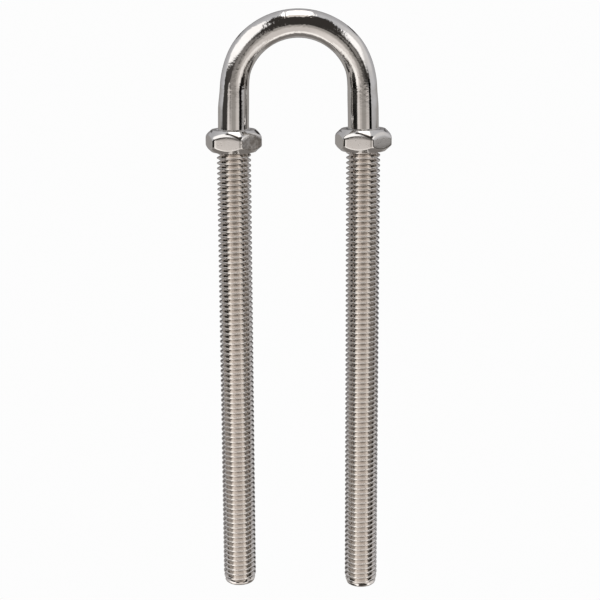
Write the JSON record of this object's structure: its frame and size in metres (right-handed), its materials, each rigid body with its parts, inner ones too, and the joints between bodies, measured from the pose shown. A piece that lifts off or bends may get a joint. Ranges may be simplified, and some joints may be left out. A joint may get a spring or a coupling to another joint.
{
  "type": "bow eye",
  "caption": "U-shaped boat bow eye bent from round bar, with long threaded legs and a jam nut on each leg.",
  "frame": {"origin": "midway between the two legs, in the plane of the nut faces that seat on the hull", "axes": "+X from the left leg to the right one, +Y along the legs towards the eye, +Z square to the plane of the bend; the part lies on a surface that is below it"},
  "size_m": [0.0689, 0.2248, 0.021],
  "materials": {
    "stainless_bar": "polished stainless steel",
    "stainless_nut": "stainless steel with a fine grain"
  },
  "bodies": {
    "u_bolt": {"u_bolt": "stainless_bar"},
    "nut_left": {"nut_left": "stainless_nut"},
    "nut_right": {"nut_right": "stainless_nut"}
  },
  "joints": [
    {"name": "nut_left_travel", "type": "slide", "parent": "u_bolt", "child": "nut_left", "axis": [0, -1, 0], "range_m": [0, 0.17975]},
    {"name": "nut_right_travel", "type": "slide", "parent": "u_bolt", "child": "nut_right", "axis": [0, -1, 0], "range_m": [0, 0.18171]}
  ]
}
